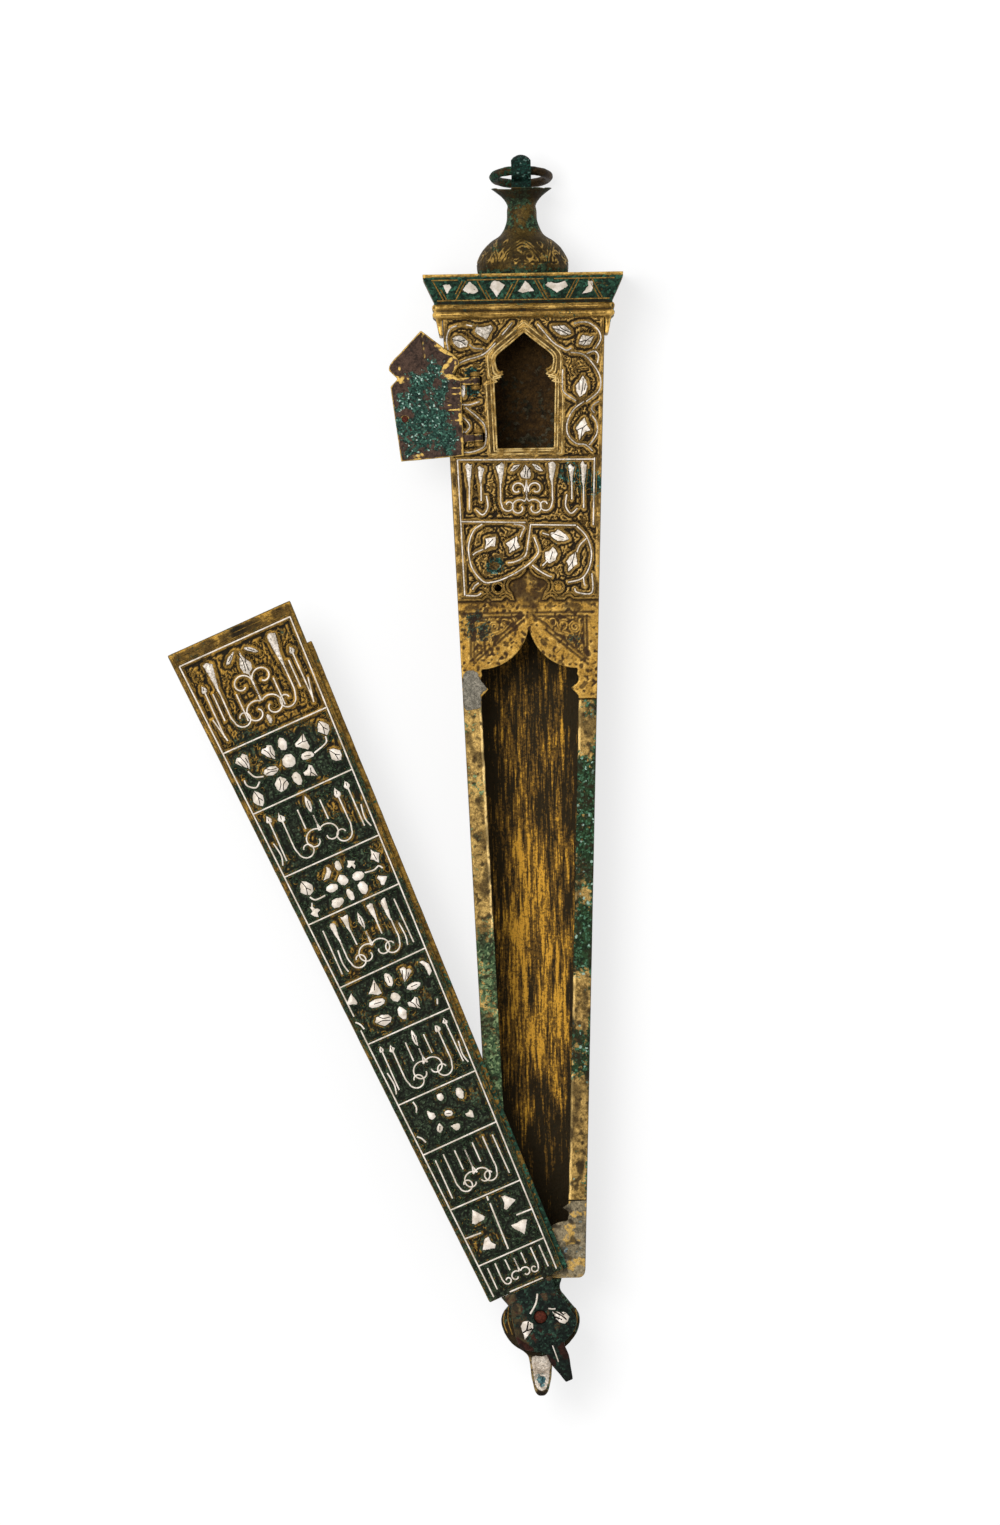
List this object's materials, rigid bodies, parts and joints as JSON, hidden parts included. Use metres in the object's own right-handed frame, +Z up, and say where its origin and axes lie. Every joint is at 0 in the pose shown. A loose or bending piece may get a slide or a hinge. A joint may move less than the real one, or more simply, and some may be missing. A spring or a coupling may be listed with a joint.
{
  "type": "pen box",
  "caption": "Tapering inlaid bronze pen box with a swivelling lid that ends in a bird's head, an ink compartment with a hinged ogee door, a finial and a hanging ring.",
  "frame": {"origin": "on the flat back face, under the middle of the box's whole length", "axes": "+Y along the box towards the finial, +Z up from the back through the lid, +X to the right seen from above"},
  "size_m": [0.1041, 0.2799, 0.0283],
  "materials": {
    "bronze": "old bronze, brown and green patina",
    "dark_bronze": "dark engraved bronze",
    "green_bronze": "dark green patina",
    "door_bronze": "purplish brown patina",
    "brass": "worn brass",
    "tinned_repair": "tinned and mottled grey",
    "iron": "rusted iron",
    "silver": "worn silver sheet"
  },
  "bodies": {
    "box": {"trough": "bronze", "end_plate": "bronze", "collar": "green_bronze", "finial": "bronze", "suspension_lug": "green_bronze", "ink_partition": "bronze", "ink_well": "dark_bronze", "arch_plate": "brass", "left_rail": "brass", "right_rail": "brass", "tail_plate": "tinned_repair", "cover_plate": "dark_bronze", "cover_rivet": "brass", "hinge_eyes": "brass", "hinge_pins": "brass", "tail_bird_head": "bronze", "pivot_rivet": "iron", "collar_inlay": "silver", "cover_line_inlay": "silver", "cover_leaf_inlay": "silver", "cover_panel_inlay": "silver", "lower_beak_inlay": "silver"},
    "lid": {"lid_plate": "dark_bronze", "lid_left_runner": "dark_bronze", "lid_right_runner": "brass", "lid_bird_head": "green_bronze", "lid_line_inlay": "silver", "lid_rosette_inlay": "silver", "lid_panel_inlay": "silver", "lid_triangle_inlay": "silver", "lid_eye_inlay": "silver"},
    "door": {"ink_door": "door_bronze", "door_knob": "iron"},
    "ring": {"suspension_ring": "dark_bronze"}
  },
  "joints": [
    {"name": "lid_swivel", "type": "hinge", "parent": "box", "child": "lid", "pos_m": [0, -0.1215, 0.0255], "axis": [0, 0, 1], "range_deg": [-23.4, 156.6]},
    {"name": "door_hinge", "type": "hinge", "parent": "box", "child": "door", "pos_m": [-0.0109, 0.08285, 0.02565], "axis": [-0.0372, 0.9993, 0], "range_deg": [0, 180]},
    {"name": "ring_swing", "type": "hinge", "parent": "box", "child": "ring", "pos_m": [0, 0.1368, 0.0136], "axis": [1, 0, 0], "range_deg": [-18, 222]}
  ]
}
